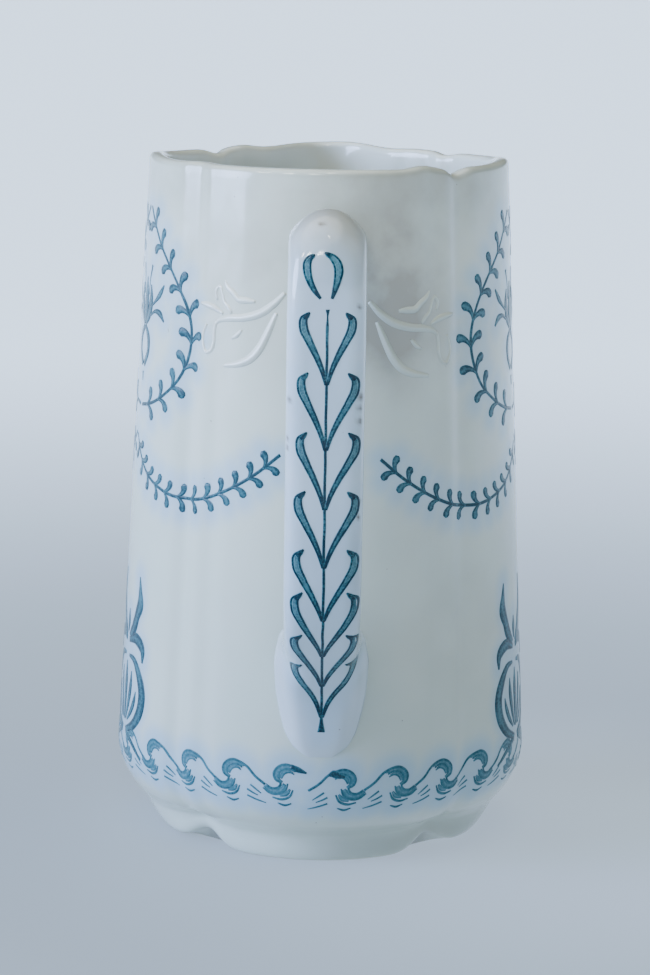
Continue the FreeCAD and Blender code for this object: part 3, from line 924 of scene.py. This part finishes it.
def build_stage():
    """A wide pale table top that glows as painted light: a painted pool of light beside the jug, darker close
    round it, and brighter far away.
    """
    material, tree, shader = node_tree("pale_table")
    place = tree.nodes.new("ShaderNodeTexCoord")
    # Painted light and shade: the table is darker close round the jug and brighter far off, with a painted
    # pool of light beside it.
    share = ramp(tree, distance(tree, place, (0, 0, 0)), 0.05, 0.7)
    beyond = ramp(tree, distance(tree, place, BRIGHT_SPOT), 0.02, 0.12)
    glow = blend(tree, share, GLOW_NEAR, GLOW_FAR)
    tree.links.new(blend(tree, share, TABLE_NEAR, TABLE_FAR), shader.inputs["Base Color"])
    tree.links.new(blend(tree, beyond, GLOW_BESIDE, glow), shader.inputs["Emission Color"])
    shader.inputs["Emission Strength"].default_value = 1.0
    shader.inputs["Roughness"].default_value = 0.9
    shader.inputs["Specular IOR Level"].default_value = 0.1
    mesh = bpy.data.meshes.new("table_top")
    corners = [(x * TABLE_REACH, y * TABLE_REACH, 0) for x, y in ((-1, -1), (1, -1), (1, 1), (-1, 1))]
    mesh.from_pydata(corners, [], [(0, 1, 2, 3)])
    mesh.materials.append(material)
    floor = bpy.data.objects.new("table_top", mesh)
    bpy.context.scene.collection.objects.link(floor)


def aim(thing, place, target):
    """Puts a camera or a light at a place, in metres, and turns it to the target."""
    thing.location = place
    away = Matrix.Translation(place).translation - Matrix.Translation(target).translation
    thing.rotation_euler = away.to_track_quat("Z", "Y").to_euler()


def add_sun(name, place, energy, degrees, colour):
    """A very wide, soft light shining from a place towards the jug."""
    data = bpy.data.lights.new(name, "SUN")
    data.energy = energy
    data.angle = math.radians(degrees)
    data.color = colour
    light = bpy.data.objects.new(name, data)
    bpy.context.scene.collection.objects.link(light)
    aim(light, place, (0, 0, 0))


def add_lamp(name, place, target, energy, degrees, size):
    """A small soft lamp with a narrow beam."""
    data = bpy.data.lights.new(name, "SPOT")
    data.energy = energy
    data.spot_size = math.radians(degrees)
    data.spot_blend = 1.0
    data.shadow_soft_size = size
    data.color = (1.0, 1.0, 0.95)
    lamp = bpy.data.objects.new(name, data)
    bpy.context.scene.collection.objects.link(lamp)
    aim(lamp, place, target)


# Lamp places and targets are in metres.
FAR_WALL = (-0.004, 0.034, 0.116)
NEAR_RIM = (-0.008, -0.03, 0.106)
GLINT_AZIMUTHS = (12, 32, 52)
GLINT_REACH = 0.4
GLINT_HEIGHT = 0.41
ROOM_LOW = (1.4, 1.75, 2.25)
ROOM_HIGH = (0.1, 0.115, 0.12)


def build_lights():
    """A low soft window on the left, a wide light overhead, a lamp that looks into the jug, and three that
    glint on the rim and the scrolls."""
    add_sun("window", (-0.94, -0.24, 0.2), energy=4.8, degrees=38, colour=(0.74, 1.01, 1.72))
    add_sun("overhead", (-0.2, 0.0, 1.0), energy=2.2, degrees=75, colour=(1.0, 1.0, 0.86))
    add_lamp("inside_lamp", (0.03, -0.27, 0.75), FAR_WALL, energy=22.0, degrees=6, size=0.07)
    for index, azimuth in enumerate(GLINT_AZIMUTHS, 1):
        across = math.sin(math.radians(azimuth))
        ahead = math.cos(math.radians(azimuth))
        place = (-GLINT_REACH * across, -GLINT_REACH * ahead, GLINT_HEIGHT)
        add_lamp(f"glint_lamp_{index}", place, NEAR_RIM, energy=1.7, degrees=12, size=0.03)


def build_room():
    """A pale room, bright at the horizon and darker higher up."""
    world = bpy.data.worlds.new("pale_room")
    world.use_nodes = True
    tree = world.node_tree
    place = tree.nodes.new("ShaderNodeTexCoord")
    split = tree.nodes.new("ShaderNodeSeparateXYZ")
    tree.links.new(place.outputs["Generated"], split.inputs["Vector"])
    colour = blend(tree, ramp(tree, split.outputs["Z"], 0.04, 0.2), ROOM_LOW, ROOM_HIGH)
    tree.links.new(colour, tree.nodes["Background"].inputs["Color"])
    bpy.context.scene.world = world


CAMERA_PLACE = (0.00016, -0.540, 0.156)
CAMERA_DOWN = math.radians(9.98)
CAMERA_ROLL = math.radians(0.9)
CAMERA_LENS = 112.8


def build_camera():
    """The long lens that looks at the handle from a little above the rim."""
    data = bpy.data.cameras.new("camera")
    data.sensor_width = 36.0
    data.lens = CAMERA_LENS
    camera = bpy.data.objects.new("camera", data)
    bpy.context.scene.collection.objects.link(camera)
    tilt = Matrix.Rotation(math.pi / 2 - CAMERA_DOWN, 4, "X")
    roll = Matrix.Rotation(CAMERA_ROLL, 4, "Z")
    camera.matrix_world = Matrix.Translation(CAMERA_PLACE) @ tilt @ roll
    bpy.context.scene.camera = camera


# ---- the whole jug --------------------------------------------------------------------------------------
# Where the prints stand. Wreaths are (centre, length of a leaf), cartouches are centres, and swags are
# (centre, level, side towards which they grow). The centres are angles in degrees.
WREATHS = [(-75.0, 3.9), (78.5, 4.2), (148.0, 3.8), (-145.5, 3.8)]
CARTOUCHES = [-75.5, 74.5, 148.0, -145.5]
SWAGS = [(-44.5, 63.0, 1), (48.0, 62.4, -1), (113.5, 62.6, -1), (-110.0, 62.6, 1), (181.0, 62.6, 1)]
# Each moulded scroll: its name, the side it is on, how far it is raised, and how pale it is painted as a
# highlight.
SCROLLS = [("relief_scroll_right", 1, 0.0, 0.15), ("relief_scroll_left", -1, 1.2, 1.0)]
SCROLL_STAIN_AND_SHADE = 0.3


def body_prints():
    """Every drawing on the wall, by name."""
    drawings = {f"wreath_{index}": print_wreath(*place) for index, place in enumerate(WREATHS, 1)}
    for index, centre in enumerate(CARTOUCHES, 1):
        drawings[f"cartouche_{index}"] = print_cartouche(centre)
    for index, (centre, level, mirror) in enumerate(SWAGS, 1):
        drawings[f"swag_{index}"] = print_swag(centre, level, mirror)
    drawings["border_right"], drawings["border_left"] = print_border()
    return drawings


def settle(piece, slot, *nodes):
    """Rides on the jug and stands for its CAD nodes. Its slot is not used."""
    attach(piece, "root")
    if nodes:
        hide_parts(*nodes)


def add_body(porcelain, wall_ink):
    """The body, and every print on its wall."""
    body = build_body(porcelain)
    drawings = body_prints()
    tint_body(body, [place for drawing in drawings.values() for place in drawing.middles])
    settle(body, "glazed_porcelain", "jug_body")
    for name, drawing in drawings.items():
        settle(drawing.build(name, wall_ink), "underglaze_blue")


def add_handle(handle_glaze, handle_ink):
    """The strap, its two pads, and the print down its face."""
    stem = print_handle()
    upper, strap, lower = build_handle(handle_glaze)
    for piece, node in ((upper, "upper_luting_pad"), (strap, "handle"), (lower, "lower_luting_pad")):
        tint_handle(piece, stem.middles)
        settle(piece, "glazed_handle", node)
    settle(stem.build("handle_print", handle_ink), "underglaze_blue")


def add_scrolls(porcelain):
    """The two moulded sprays beside the handle."""
    for name, mirror, raised, pale in SCROLLS:
        piece = build_scroll(name, mirror, raised, porcelain)
        # Painted highlight: the fronds blend towards the brighter inside white. The less highlighted scroll
        # takes stains and painted shade like the wall beside it.
        tint = (0.0, SCROLL_STAIN_AND_SHADE * (1 - pale), 0.0, pale)
        set_tint(piece, np.tile(tint, (len(piece.data.vertices), 1)))
        settle(piece, "glazed_porcelain", name)


def main():
    """Builds everything in the frame's space."""
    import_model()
    porcelain = glaze("glazed_porcelain", *PORCELAIN)
    handle_glaze = glaze("glazed_handle", *HANDLE_GLAZE)
    wall_ink = ink("underglaze_wall", *WALL_INK)
    handle_ink = ink("underglaze_handle", *HANDLE_INK)
    add_body(porcelain, wall_ink)
    add_handle(handle_glaze, handle_ink)
    add_scrolls(porcelain)
    build_stage()
    build_lights()
    build_room()
    build_camera()


main()
